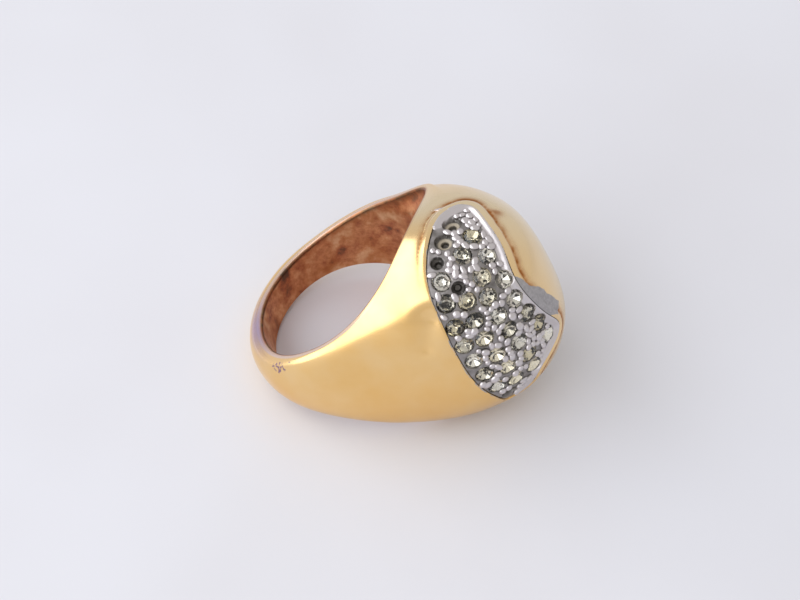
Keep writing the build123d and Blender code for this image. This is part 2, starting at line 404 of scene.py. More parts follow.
def band_tree():
    """Geometry Nodes tree that bends a flat sheet into the band.

    The sheet's X is the turn round the finger. Its Y runs across: up to 1 over the crown from
    edge to edge, on to 1.1 across the flat edge, to 1.2 round its inner corner and to 2.2 along
    the finger hole. "push" is an offset away from the finger's axis and "lift" one along it. "dent" is
    a depth under the skin that these give, against the direction "outward".
    """
    tree, entry = geometry_tree("Domed band", {
        **dict.fromkeys((*BAND_SIZES, "Shank Half Width", "Dome Half Width", "Tilt"), "Float"),
        "Material": "Material"})
    known = dict(entry.outputs.items())
    sheet = add(tree, "ShaderNodeSeparateXYZ", {0: add(tree, "GeometryNodeInputPosition")})
    known["turn"], known["across"] = sheet.outputs[0], sheet.outputs[1]
    for name in ("dent", "push", "lift", "outward"):
        kind = "FLOAT_VECTOR" if name == "outward" else "FLOAT"
        known[name] = add(tree, "GeometryNodeInputNamedAttribute", {"Name": name}, data_type=kind)

    quarter = math.pi / 2
    follow(tree, known, (
        # Sizes at this turn: a blend of the shank's and the dome's.
        ("cosine", "COSINE", "turn"),
        ("bulge", "MULTIPLY_ADD", "cosine", 0.5, 0.5),
        ("bulge", "MAXIMUM", "bulge", 0.0),
        ("dome", "POWER", "bulge", "Dome Sharpness"),
        ("flare", "POWER", "bulge", "Flare Sharpness"),
        ("gain", "SUBTRACT", "Dome Thickness", "Shank Thickness"),
        ("height", "MULTIPLY_ADD", "gain", "dome", "Shank Thickness"),
        ("gain", "SUBTRACT", "Dome Half Width", "Shank Half Width"),
        ("half width", "MULTIPLY_ADD", "gain", "flare", "Shank Half Width"),
        ("gain", "SUBTRACT", "Dome Fullness", "Shank Fullness"),
        ("fullness", "MULTIPLY_ADD", "gain", "flare", "Shank Fullness"),
        # Cross-section: a full ellipse over the crown, a quarter ellipse at the corner, then straight.
        ("side", "SIGN", "across"),
        ("reach", "ABSOLUTE", "across"),
        ("tip", "RANGE", "reach", 0.0, 1.0, 0.0, quarter),
        ("flat", "RANGE", "reach", 1.0, 1.1, 1.0, 0.0),
        ("corner", "RANGE", "reach", 1.1, 1.2, 0.0, quarter),
        ("inward", "RANGE", "reach", 1.2, 2.2, 1.0, 0.0),
        ("cos tip", "COSINE", "tip"),
        ("cos tip", "MAXIMUM", "cos tip", 0.0),
        ("sin tip", "SINE", "tip"),
        ("rise", "POWER", "cos tip", "fullness"),
        ("spread", "POWER", "sin tip", "fullness"),
        ("sin corner", "SINE", "corner"),
        ("cos corner", "COSINE", "corner"),
        # Distance from the finger's axis.
        ("crown", "SUBTRACT", "height", "Edge Thickness"),
        ("edge", "SUBTRACT", 1.0, "sin corner"),
        ("edge", "MULTIPLY_ADD", "edge", "Edge Rounding", "Finger Radius"),
        ("land", "SUBTRACT", "Edge Thickness", "Edge Rounding"),
        ("edge", "MULTIPLY_ADD", "land", "flat", "edge"),
        ("radius", "MULTIPLY_ADD", "crown", "rise", "edge"),
        ("radius", "ADD", "radius", "push"),
        # Distance along the finger.
        ("round off", "SUBTRACT", "cos corner", 1.0),
        ("round off", "MULTIPLY", "round off", "Edge Rounding"),
        ("along", "MULTIPLY_ADD", "half width", "spread", "round off"),
        ("along", "MULTIPLY", "along", "inward"),
        ("along", "MULTIPLY_ADD", "along", "side", "lift"),
        ("sine", "SINE", "turn"),
        ("x", "MULTIPLY", "radius", "cosine"),
        ("y", "MULTIPLY", "radius", "sine"),
        ("back tilt", "MULTIPLY", "Tilt", -1.0),
        ("down", "MULTIPLY", "dent", -1.0)))

    own = add(tree, "ShaderNodeCombineXYZ", {0: known["x"], 1: known["y"], 2: known["along"]})
    laid = add(tree, "ShaderNodeVectorRotate", {"Vector": own, "Angle": known["back tilt"]},
               rotation_type="Y_AXIS")
    skin = add(tree, "GeometryNodeSetPosition", {"Geometry": known["Geometry"], "Position": laid})
    offset = add(tree, "ShaderNodeVectorMath", {0: known["outward"], "Scale": known["down"]},
                 operation="SCALE")
    dented = add(tree, "GeometryNodeSetPosition", {"Geometry": skin, "Offset": offset})
    return finish_tree(tree, dented, known["Material"])


def ring_sizes(shape, material=None):
    """Inputs of the band tree from the ring's sizes."""
    return {**{name: getattr(shape, name.lower().replace(" ", "_")) for name in BAND_SIZES},
            "Shank Half Width": shape.shank_width / 2, "Dome Half Width": shape.dome_width / 2,
            "Tilt": TILT, "Material": material}


def section(shape, turn):
    """Height, half width and fullness of the band at a turn."""
    bulge = (1 + np.cos(turn)) / 2
    dome, flare = bulge ** shape.dome_sharpness, bulge ** shape.flare_sharpness
    return (shape.shank_thickness + (shape.dome_thickness - shape.shank_thickness) * dome,
            (shape.shank_width + (shape.dome_width - shape.shank_width) * flare) / 2,
            shape.shank_fullness + (shape.dome_fullness - shape.shank_fullness) * flare)


def flat_sheet(shape, turns, crowns, bores):
    """Flat sheet for the band tree, with lines that crowd together on the dome."""
    t = np.linspace(-1, 1, turns + 1)
    turn = math.pi * (DOME_CROWDING * t + (1 - DOME_CROWDING) * t**3)
    even = np.linspace(-math.pi / 2, math.pi / 2, crowns + 1)[1:-1]
    crown = np.sign(even) * np.arctan(np.abs(np.tan(even)) ** (1 / shape.dome_fullness)) / (math.pi / 2)
    outer = np.concatenate([[1, 1.05], np.linspace(1.1, 1.2, 6), np.linspace(1.2, 2.2, bores + 1)[1:]])
    across = np.concatenate([-outer[::-1], crown, outer])
    columns = len(across)
    points = [(x, y, 0) for x in turn for y in across]
    faces = [(i * columns + j, (i + 1) * columns + j, (i + 1) * columns + j + 1, i * columns + j + 1)
             for i in range(len(turn) - 1) for j in range(columns - 1)]
    mesh = bpy.data.meshes.new("sheet")
    mesh.from_pydata(points, [], faces)
    store(mesh, "dent", np.zeros(len(points)))
    shape_by_hand(mesh)
    return mesh


def shape_by_hand(sheet):
    """Stores how far the hand-finished casting leaves the even shape, mostly near its upper edge."""
    flat = coordinates(sheet)
    turn, across, reach = np.degrees(flat[:, 0]), flat[:, 1], np.abs(flat[:, 1])
    upper = smoothstep(0.15, 1.0, across) * (1 - smoothstep(1.2, 1.8, across))
    lift = 0.45 * bump(-100, 28, turn) + 0.48 * bump(-12, 22, turn) - 0.60 * bump(62, 24, turn)
    store(sheet, "lift", lift * upper * MM)
    crown = 1 - smoothstep(0.75, 1.0, reach)
    plump = 0.35 * bump(-118, 32, turn) * crown * smoothstep(0, 20, 180 - np.abs(turn))
    shoulder = 0.35 * bump(30, 28, turn) * smoothstep(0.05, 0.4, across) * crown
    mouth = 1.3 * bump(44, 22, turn) * smoothstep(0.8, 1.0, across) * (1 - smoothstep(1.2, 1.6, across))
    store(sheet, "push", (plump + shoulder + mouth) * MM)


def bent(sheet, tree, sizes):
    """Places in the row frame of a flat sheet's points."""
    mesh = grown(sheet, tree, sizes, "trial")
    found = coordinates(mesh)
    bpy.data.meshes.remove(mesh)
    return found


def face_out(sheet, tree, sizes):
    """Stores the skin's normal at each of a flat sheet's points."""
    mesh = grown(sheet, tree, sizes, "trial")
    normals = np.zeros(len(mesh.vertices) * 3)
    mesh.vertex_normals.foreach_get("vector", normals)
    bpy.data.meshes.remove(mesh)
    sheet.attributes.new("outward", "FLOAT_VECTOR", "POINT").data.foreach_set("vector", normals)


def unbent(shape, spot):
    """Turn and crown position on the flat sheet of a place on the skin."""
    own = TO_ROW.inverted() @ spot
    turn = math.atan2(own.y, own.x)
    _, half, full = section(shape, turn)
    tip = math.asin(min(1.0, (abs(own.z) / half) ** (1 / full)))
    return turn, math.copysign(tip / (math.pi / 2), own.z)


def refine(sheet, tree, sizes, near, longest):
    """Halves a flat sheet's edges that, once bent, are near something and longer than asked."""
    spots = bent(sheet, tree, sizes)
    close = near(spots)
    with edited(sheet) as work:
        edges = []
        for edge in work.edges:
            a, b = edge.verts[0].index, edge.verts[1].index
            if close[a] and close[b] and np.linalg.norm(spots[a] - spots[b]) > longest:
                edges.append(edge)
        bmesh.ops.subdivide_edges(work, edges=edges, cuts=1, use_grid_fill=True)


def weld(mesh, crease):
    """Joins points that lie together, such as at the band's seam, and shades the mesh smoothly."""
    with edited(mesh) as work:
        bmesh.ops.remove_doubles(work, verts=work.verts, dist=0.0015 * MM)
        bmesh.ops.recalc_face_normals(work, faces=work.faces)
    mesh.shade_smooth()
    mesh.set_sharp_from_angle(angle=math.radians(crease))


class Inlay:
    """The inlay's outline on the dome, and distances from it."""

    def __init__(self, shape, skin, inset=0.0):
        flat = closed_spline(OUTLINE, RIM_SAMPLES)
        step = np.roll(flat, -1, 0) - np.roll(flat, 1, 0)
        inward = np.stack([-step[:, 1], step[:, 0]], 1) / np.linalg.norm(step, axis=1)[:, None]
        self.flat = flat + inward * inset / MM
        self.spots = [on_skin(skin, point)[0] for point in self.flat]
        self.sheet = [unbent(shape, spot) for spot in self.spots]
        right = rightness(np.arange(RIM_SAMPLES)) > 0.5
        self.tree, self.left, self.right = (KDTree(RIM_SAMPLES) for _ in range(3))
        for i, spot in enumerate(self.spots):
            self.tree.insert(spot, i)
            (self.right if right[i] else self.left).insert(spot, i)
        for tree in (self.tree, self.left, self.right):
            tree.balance()

    def measure(self, spots):
        """Signed distance in metres, positive inside, and the nearest sample for each place."""
        found = [self.tree.find(spot) for spot in spots]
        away = np.array([f[2] for f in found])
        within = np.zeros(len(spots), bool)
        ahead = in_front(spots)
        within[ahead] = inside(on_map(spots[ahead]), self.flat)
        return np.where(within, away, -away), np.array([f[1] for f in found])

    def snap(self, sheet, spots, reach):
        """Moves the sheet's points that are next to the outline on to it, for a clean line."""
        away, index = self.measure(spots)
        for i in np.nonzero(np.abs(away) < reach)[0]:
            sheet.vertices[i].co.xy = self.sheet[index[i]]
            away[i] = 0
        return away, index

    def lean(self, spots):
        """0 at the inlay's left run, 1 at its right, and a blend between."""
        left = np.array([self.left.find(s)[2] for s in spots])
        right = np.array([self.right.find(s)[2] for s in spots])
        return left / (left + right + 1e-9)


def rightness(index, start=0.02, end=0.10):
    """1 on the outline's top end and right run, falling to 0 from a start to an end on its left run."""
    part = np.asarray(index) / RIM_SAMPLES
    return np.where(part < 0.3, 1 - smoothstep(start, end, part), smoothstep(0.50, 0.56, part))


def ring_skin(shape):
    """The band tree, its inputs and the plain skin for lines to be cast on."""
    tree, sizes = band_tree(), ring_sizes(shape)
    mesh = grown(flat_sheet(shape, 360, 180, 2), tree, sizes, "skin")
    faces = [tuple(face.vertices) for face in mesh.polygons]
    skin = BVHTree.FromPolygons([vert.co for vert in mesh.vertices], faces)
    bpy.data.meshes.remove(mesh)
    return tree, sizes, skin


def stone_seats():
    """Node, centre of the table and outward axis of every set stone, from the CAD model."""
    found = []
    for name in STONE_NODES:
        mesh = frame["nodes"][name].data
        areas = {}
        for face in mesh.polygons:
            key = tuple(round(c, 3) for c in face.normal)
            areas[key] = areas.get(key, 0) + face.area
        axis = Vector(max(areas, key=areas.get)).normalized()
        top = max(v.co.dot(axis) for v in mesh.vertices)
        corners = {tuple(round(c, 7) for c in v.co) for v in mesh.vertices
                   if v.co.dot(axis) > top - 0.01 * MM}
        found.append((name, sum((Vector(c) for c in corners), Vector()) / len(corners), axis))
    return found


# ------------------------------------------------------------------- materials
def blank(name):
    """New material with an empty tree, as (material, tree, Object coordinates)."""
    material = bpy.data.materials.new(name)
    material.use_nodes = True
    tree = material.node_tree
    tree.nodes.clear()
    return material, tree, add(tree, "ShaderNodeTexCoord").outputs["Object"]


def finished(material, shader):
    """The material, with its shader on its surface."""
    add(material.node_tree, "ShaderNodeOutputMaterial", {"Surface": shader})
    return material


def gold_material(colours):
    """Thin gold plate on a hand-polished brass casting.

    Gives a soft mirror with faint scratches. It has rubbed through to brown along the groove beside
    the inlay, is pale on the band's edges, and is gone from the inside, which is stained.
    """
    material, tree, place = blank("gold_plated_brass_polished")
    known = {name: add(tree, "ShaderNodeAttribute", attribute_name=name).outputs["Fac"]
             for name in ("bore", "edge", "groove", "overrun", "grime", "tarnish", "flecks", "faded")}
    # Clouding about 4 mm across, drift 2.4 mm, stains 1.1 mm, flecks 0.5 mm and pits 0.3 mm.
    for name, scale, detail, roughness, distortion in (
            ("cloud", 250.0, 3.0, 0.5, 0.0), ("drift", 420.0, 3.0, 0.5, 0.6),
            ("stain", 900.0, 6.0, 0.65, 0.0), ("fleck", 2200.0, 3.0, 0.5, 0.0),
            ("pits", 3300.0, 4.0, 0.7, 0.0)):
        known[name] = add(tree, "ShaderNodeTexNoise", {
            "Vector": place, "Scale": scale, "Detail": detail, "Roughness": roughness,
            "Distortion": distortion})
    # Fine rubbing marks, about twenty times as long as they are wide.
    long_way = add(tree, "ShaderNodeMapping", {
        "Vector": place, "Scale": (260.0, 260.0, 5200.0), "Rotation": (0.5, 0.9, 0.0)})
    known["marks"] = add(tree, "ShaderNodeTexNoise", {"Vector": long_way, "Scale": 1.0, "Detail": 5.0})

    follow(tree, known, (
        # The plate, clouded pale at random and with a painted pale reflection on the dome's right side,
        # and the brown where the groove is rubbed.
        ("pale", "RANGE", "cloud", 0.30, 0.70, 0.25, 0.75),
        ("outside", "MIX", "pale", colours.gold, "#EDBE72"),
        ("outside", "MIX", "faded", "outside", "#EBDBBB"),
        ("brown", "MIX", "stain", "#C98445", "#8E5226"),
        ("broken", "RANGE", "stain", 0.36, 0.56, 0.45, 1.0),
        ("rubbed", "MULTIPLY", "groove", "broken"),
        ("outside", "MIX", "rubbed", "outside", "brown"),
        # Pale copper edges, lilac tarnish and purple flecks.
        ("outside", "MIX", "edge", "outside", "#E9CDB8"),
        ("outside", "MIX", "tarnish", "outside", "#B3A3C6"),
        ("fleck", "MULTIPLY_ADD", "flecks", 0.42, "fleck"),
        ("fleck", "RANGE", "fleck", 0.83, 0.90, 0.0, 0.8),
        ("outside", "MIX", "fleck", "outside", "#6E4F86"),
        # How dark the patches inside the band are.
        ("mixed", "ADD", "stain", "drift"),
        ("mixed", "MULTIPLY", "mixed", 0.5)))
    known["patches"] = add(tree, "ShaderNodeValToRGB", {0: known["mixed"]})
    ramp = known["patches"].color_ramp
    ramp.elements[0].position, ramp.elements[0].color = 0.36, linear("#6B5142")
    ramp.elements[1].position, ramp.elements[1].color = 0.64, linear("#F2C79B")
    ramp.elements.new(0.44).color = linear("#B5704F")
    ramp.elements.new(0.54).color = linear("#D8996B")

    follow(tree, known, (
        # Inside: mottled bare metal, redder in places, with a dark line under the upper rim.
        ("redder", "RANGE", "cloud", 0.4, 0.65, 0.0, 0.6),
        ("lining", "MIX", "redder", "patches", colours.copper),
        ("grimy", "RANGE", "stain", 0.38, 0.56, 0.35, 1.0),
        ("grimy", "MULTIPLY", "grime", "grimy"),
        ("lining", "MIX", "grimy", "lining", "#3A3A2E"),
        ("colour", "MIX", "bore", "outside", "lining"),
        # Rhodium that ran over the gold beside the inlay, with a ragged edge.
        ("ragged", "ADD", "stain", "overrun"),
        ("ragged", "RANGE", "ragged", 0.95, 1.02, 0.0, 1.0),
        ("grey", "MIX", "pits", "#7C7978", "#CFCBCA"),
        ("colour", "MIX", "ragged", "colour", "grey"),
        # Roughness and relief, both stronger where the plate is worn or gone.
        ("smooth", "RANGE", "cloud", 0.3, 0.7, 0.17, 0.27),
        ("worn", "MAXIMUM", "bore", "rubbed"),
        ("worn", "MAXIMUM", "worn", "ragged"),
        ("rough", "MULTIPLY_ADD", "worn", 0.22, "smooth"),
        ("relief", "MULTIPLY", "pits", "worn"),
        ("relief", "MULTIPLY_ADD", "marks", 0.12, "relief")))
    normal = add(tree, "ShaderNodeBump", {
        "Height": known["relief"], "Strength": 0.35, "Distance": 0.03 * MM})
    return finished(material, add(tree, "ShaderNodeBsdfPrincipled", {
        "Base Color": known["colour"], "Metallic": 1.0, "Roughness": known["rough"], "Normal": normal}))


def rhodium_material(colours):
    """Rhodium plate on the cast, punched and beaded plate.

    Gives a cool white shine on the beads and the bare ledge. Dirt and painted shade grey it down in the
    crevices and the seat walls, and a painted highlight lightens the bead tops and the ledge.
    """
    material, tree, place = blank(RHODIUM)
    known = {name: add(tree, "ShaderNodeAttribute", attribute_name=name).outputs["Fac"]
             for name in ("high", "glue")}
    # Stains about 0.8 mm across and a casting's grain of 0.17 mm.
    known["stain"] = add(tree, "ShaderNodeTexNoise", {"Vector": place, "Scale": 1200.0, "Detail": 5.0})
    grain = add(tree, "ShaderNodeTexNoise", {"Vector": place, "Scale": 6000.0, "Detail": 3.0})
    follow(tree, known, (
        # The mix from dark to white is random dirt stains plus painted light from 'high': painted shade
        # in the crevices and down the seat walls, and a painted highlight on the bead tops and the bare
        # ledge.
        ("clean", "MULTIPLY_ADD", "stain", 0.5, "high"),
        ("clean", "RANGE", "clean", 0.30, 0.85, 0.0, 1.0),
        ("colour", "MIX", "clean", "#6A6661", colours.rhodium),
        ("colour", "MIX", "glue", "colour", "#B5A994"),
        ("bare", "SUBTRACT", 1.0, "glue"),
        ("rough", "RANGE", "clean", 0.0, 1.0, 0.5, 0.34)))
    normal = add(tree, "ShaderNodeBump", {"Height": grain, "Strength": 0.25, "Distance": 0.02 * MM})
    return finished(material, add(tree, "ShaderNodeBsdfPrincipled", {
        "Base Color": known["colour"], "Metallic": known["bare"], "Roughness": known["rough"],
        "Normal": normal}))


def glass_material(name, tint, haze):
    """Machine-cut lead glass: a hard sparkle, slightly clouded by age."""
    material, tree, place = blank(name)
    film = add(tree, "ShaderNodeTexNoise", {"Vector": place, "Scale": 1500.0, "Detail": 4.0})
    rough = add(tree, "ShaderNodeMapRange", {0: film, 1: 0.35, 2: 0.7, 3: 0.0, 4: haze})
    return finished(material, add(tree, "ShaderNodeBsdfPrincipled", {
        "Base Color": tint, "IOR": 1.56, "Transmission Weight": 1.0, "Roughness": rough}))


def foil_material(name, bright, dark, threshold):
    """Silvered foil behind a stone: a mirror with spots where it has gone dark."""
    material, tree, place = blank(name)
    known = {"spots": add(tree, "ShaderNodeTexNoise", {"Vector": place, "Scale": 1400.0, "Detail": 3.0})}
    follow(tree, known, (
        ("gone", "RANGE", "spots", threshold, threshold + 0.06, 0.0, 1.0),
        ("colour", "MIX", "gone", bright, dark)))
    return finished(material, add(tree, "ShaderNodeBsdfPrincipled", {
        "Base Color": known["colour"], "Metallic": 1.0, "Roughness": 0.12}))


def floor_material(colours):
    """Matt white laminate table top: pale, with a very faint mottle."""
    material, tree, place = blank("table_laminate_matt")
    known = {"mottle": add(tree, "ShaderNodeTexNoise", {"Vector": place, "Scale": 40.0, "Detail": 2.0})}
    follow(tree, known, (("colour", "MIX", "mottle", colours.floor, "#DFE0E6"),))
    return finished(material, add(tree, "ShaderNodeBsdfPrincipled", {
        "Base Color": known["colour"], "Roughness": 0.7}))


# ------------------------------------------------------------------- operators
class RING_OT_casting(bpy.types.Operator):
    """Gold-plated casting: the band, the dome with the inlay's pocket, and the hollow under it"""
    bl_idname = "ring.casting"
    bl_label = "Build casting"

    def execute(self, context):
        shape, sizes = context.scene.ring_shape, context.scene.inlay_sizes
        tree, values, skin = ring_skin(shape)
        inlay = Inlay(shape, skin)
        sheet = flat_sheet(shape, *SHEET_LINES, 18)
        for reach, longest in ((0.9, 0.16), (0.45, 0.08), (0.16, 0.045)):
            refine(sheet, tree, values, lambda s: np.abs(inlay.measure(s)[0]) < reach * MM, longest * MM)
        face_out(sheet, tree, values)
        away, index = inlay.snap(sheet, bent(sheet, tree, values), 0.02 * MM)
        spots = bent(sheet, tree, values)
        right = rightness(index)
        rolled = rightness(index, 0.03, 0.20)
        flat = coordinates(sheet)
        turn, reach = flat[:, 0], np.abs(flat[:, 1])
        turned = np.degrees(turn)
        on_crown = reach < 1
        d = np.where(on_crown, away / MM, -9)

        # Relief: rounded lip, pocket, raised roll and groove beside the inlay, and polishing wobble.
        pocket = (sizes.recess + sizes.plate_thickness) / MM + POCKET_ROOM
        lip = 0.05 * np.clip(1 + d / 0.22, 0, 1) ** 2
        dent = np.where(d > 0.01, pocket, lip)
        wander = lumps(spots, 1.1 * MM, 5)
        line = -0.74 + 0.10 * wander
        dent -= 0.07 * rolled * bump(-0.33, 0.17, d)
        dent += 0.08 * rolled * bump(line, 0.11, d)
        start, end = (np.array(TO_ROW @ Vector(point)) * MM for point in KNOCK)
        dent += 0.32 * bump(0, 1.05, from_line(spots, start, end) / MM) * on_crown
        wobble = shape.wobble / MM * lumps(spots, 4.5 * MM, 1) + 0.006 * lumps(spots, 1.3 * MM, 2)
        wobble *= smoothstep(-1.0, -0.9, -reach) * smoothstep(0, 12, 180 - np.abs(turned))
        dent += np.where(d > 0.01, 0, wobble)
        store(sheet, "dent", dent * MM)

        # The hollow cast under the dome, and the rough cast surface of the finger hole.
        height, half, full = section(shape, turn)
        along = half * np.clip(2.2 - reach, 0, 1)
        room = np.maximum(half - shape.hollow_wall, 1e-6)
        tip = np.arcsin(np.clip(along / room, 0, 1) ** (1 / full))
        domed = height - shape.edge_thickness - shape.hollow_wall
        roof = shape.edge_thickness + domed * np.cos(tip) ** full
        under = (along < room) & (np.abs(turn) < shape.hollow_spread) & (reach > 1.2)
        rough = 0.012 * lumps(spots, 0.9 * MM, 7) * (reach > 1.2)
        push = np.where(under, np.maximum(roof, 0), 0) + rough * MM
        store(sheet, "push", read(sheet, "push") + push)

        # Masks for the finish.
        store(sheet, "bore", smoothstep(1.08, 1.14, reach))
        store(sheet, "edge", smoothstep(0.95, 1.0, reach) * smoothstep(40, 70, np.abs(turned)))
        flat_map = on_map(spots)
        # A brown patch painted on the gold right of the inlay, added to the groove's brown.
        brown_patch = 0.8 * bump(0, 0.55, np.linalg.norm(flat_map - BROWN_PATCH, axis=1)) * on_crown
        worn_line = bump(line, 0.15, d) + 0.4 * bump(line - 0.25, 0.3, d)
        store(sheet, "groove", rolled * worn_line + brown_patch)
        upper = smoothstep(0, 1, np.sign(flat[:, 1]))
        store(sheet, "grime", 0.8 * upper * bump(1.17, 0.07, reach))
        tarnish = bump(-158, 22, turned) + bump(202, 22, turned)
        tarnish *= smoothstep(0.5, 0.9, flat[:, 1]) * smoothstep(-1.2, -1.1, -reach)
        store(sheet, "tarnish", 0.8 * tarnish)
        store(sheet, "flecks", bump(-113, 11, turned) * bump(0.72, 0.22, flat[:, 1]))
        spill = 1 - smoothstep(-0.35, 0.45, beyond(flat_map, OVERRUN))
        nicks = 0.52 * (1 - right) * bump(-0.05, 0.09, d)
        store(sheet, "overrun", np.maximum(spill, nicks) * in_front(spots) * on_crown)
        # Painted reflection: the gold is painted paler on the dome's right side, around a turn of 14
        # degrees.
        store(sheet, "faded", 0.9 * bump(14, 20, turned))

        material = gold_material(context.scene.ring_colours)
        mesh = grown(sheet, tree, dict(values, Material=material), "ring_body")
        weld(mesh, 50)
        place("ring_casting", mesh, "gold_plate", "ring_body")
        return {"FINISHED"}


def nearest_seats(spots, seats):
    """For each place, the nearest seat's index and the distance in millimetres from its axis."""
    tree = KDTree(len(seats))
    for i, seat in enumerate(seats):
        tree.insert(seat["place"], i)
    tree.balance()
    index = np.array([tree.find(s)[1] for s in spots])
    centre = np.array([seat["place"] for seat in seats])[index]
    axis = np.array([seat["axis"] for seat in seats])[index]
    away = spots - centre
    flat = away - axis * np.sum(away * axis, 1)[:, None]
    return np.linalg.norm(flat, axis=1) / MM, index


def all_seats(skin, inlay, sizes):
    """Every drilled seat on the plate's face: those with stones, then the empty ones."""
    stones = on_map(np.array([centre for _, centre, _ in stone_seats()]))
    found = [(point, SEAT_MOUTH, SEAT_MOUTH / 2, False) for point in stones]
    found += [(point, mouth, well, True) for point, mouth, well in EMPTY_SEATS]
    seats = []
    for point, mouth, well, bare in found:
        spot, normal = on_skin(skin, point)
        depth = sizes.recess + sizes.recess_slope * (2 * inlay.lean([spot])[0] - 1)
        seats.append({"place": spot - normal * depth, "axis": normal, "bare": bare, "mouth": mouth,
                      "well": well})
    return seats


def of_seats(seats, index):
    """Mouth radius, well radius and whether it is empty, of the seat at each index."""
    return (np.array([seat[key] for seat in seats])[index] for key in ("mouth", "well", "bare"))


class RING_OT_plate(bpy.types.Operator):
    """Rhodium-plated pave plate with its drilled seats, five of them empty"""
    bl_idname = "ring.plate"
    bl_label = "Build pave plate"

    def execute(self, context):
        shape, sizes = context.scene.ring_shape, context.scene.inlay_sizes
        tree, values, skin = ring_skin(shape)
        inlay = Inlay(shape, skin, sizes.joint)
        seats = all_seats(skin, inlay, sizes)
        sheet = flat_sheet(shape, *SHEET_LINES, 2)
        on_crown = np.abs(coordinates(sheet)[:, 1]) < 1
        self.crop(sheet, on_crown & (inlay.measure(bent(sheet, tree, values))[0] > -0.5 * MM))
        for longest in (0.2, 0.13):
            refine(sheet, tree, values, lambda s: np.ones(len(s), bool), longest * MM)

        def near_walls(spots):
            radius, index = nearest_seats(spots, seats)
            mouth, well, bare = of_seats(seats, index)
            by_rim = np.abs(inlay.measure(spots)[0]) < 0.15 * MM
            return (np.abs(radius - mouth) < 0.17) | (bare & (np.abs(radius - well) < 0.15)) | by_rim

        refine(sheet, tree, values, near_walls, 0.07 * MM)
        face_out(sheet, tree, values)
        away, _ = inlay.snap(sheet, bent(sheet, tree, values), 0.035 * MM)
        self.crop(sheet, away >= 0)
        spots = bent(sheet, tree, values)
        d = inlay.measure(spots)[0] / MM
        lean = inlay.lean(spots)
        radius, index = nearest_seats(spots, seats)
        mouth, well, bare = of_seats(seats, index)

        face = (sizes.recess / MM + sizes.recess_slope / MM * (2 * lean - 1)
                + 0.02 * lumps(spots, 1.2 * MM, 3))
        wall = 1 - smoothstep(mouth - 0.07, mouth, radius)
        cone = 0.26 + 0.70 * np.clip(1 - radius / mouth, 0, 1)
        stepped = (0.50 - 0.12 * smoothstep(well + 0.05, mouth - 0.12, radius)
                   + 0.35 * (1 - smoothstep(well - 0.12, well, radius)))
        face += wall * np.where(bare, stepped, cone)
        face -= 0.33 * (1 - smoothstep(0.05, 0.60, d)) * smoothstep(0.45, 0.75, lean)
        store(sheet, "dent", face * MM)
        # Painted light: most of the plate's face is painted as shaded. The bare ledge along the inlay's
        # right run is painted fully lit as a painted highlight, and the seat walls are painted darker as
        # painted shade.
        ledge_highlight = (1 - smoothstep(0.45, 0.75, d)) * smoothstep(0.45, 0.75, lean)
        store(sheet, "high", np.clip(0.22 + ledge_highlight, 0, 1) * (1 - 0.85 * wall))
        glued = (smoothstep(well - 0.08, well + 0.02, radius)
                 * (1 - smoothstep(mouth - 0.30, mouth - 0.20, radius)))
        store(sheet, "glue", glued * bare * (mouth > 0.8))
        free = (radius > np.where(bare, mouth + 0.14, 0.92)) & (d > np.where(lean > 0.5, 0.62, 0.27))
        store(sheet, "bead_room", free)

        material = rhodium_material(context.scene.ring_colours)
        mesh = grown(sheet, tree, dict(values, Material=material), "pave_plate")
        ground = mesh.copy()
        ground.name = "bead_ground"
        store(sheet, "dent", np.full(len(d), sizes.recess + sizes.plate_thickness))
        self.thicken(mesh, bent(sheet, tree, values))
        weld(mesh, 55)
        place("pave_plate_cast", mesh, "rhodium_plate", "pave_plate")
        return {"FINISHED"}

    @staticmethod
    def crop(sheet, keep):
        """Deletes the faces of a sheet that have a point which isn't kept."""
        with edited(sheet) as work:
            drop = [f for f in work.faces if not all(keep[v.index] for v in f.verts)]
            bmesh.ops.delete(work, geom=drop, context="FACES")
            bmesh.ops.delete(work, geom=[v for v in work.verts if not v.link_faces], context="VERTS")

    @staticmethod
    def thicken(mesh, bottom):
        """Closes an open plate with walls and a bottom, given a bottom place for each of its points."""
        with edited(mesh) as work:
            number = work.verts.layers.int.new("number")
            for vert in work.verts:
                vert[number] = vert.index
            high = work.verts.layers.float["high"]
            made = bmesh.ops.extrude_face_region(work, geom=work.faces[:], use_keep_orig=True)
            for item in made["geom"]:
                if isinstance(item, bmesh.types.BMVert):
                    # Painted shade: the plate's new bottom points are painted fully dark.
                    item.co, item[high] = bottom[item[number]], 0
            work.verts.layers.int.remove(number)


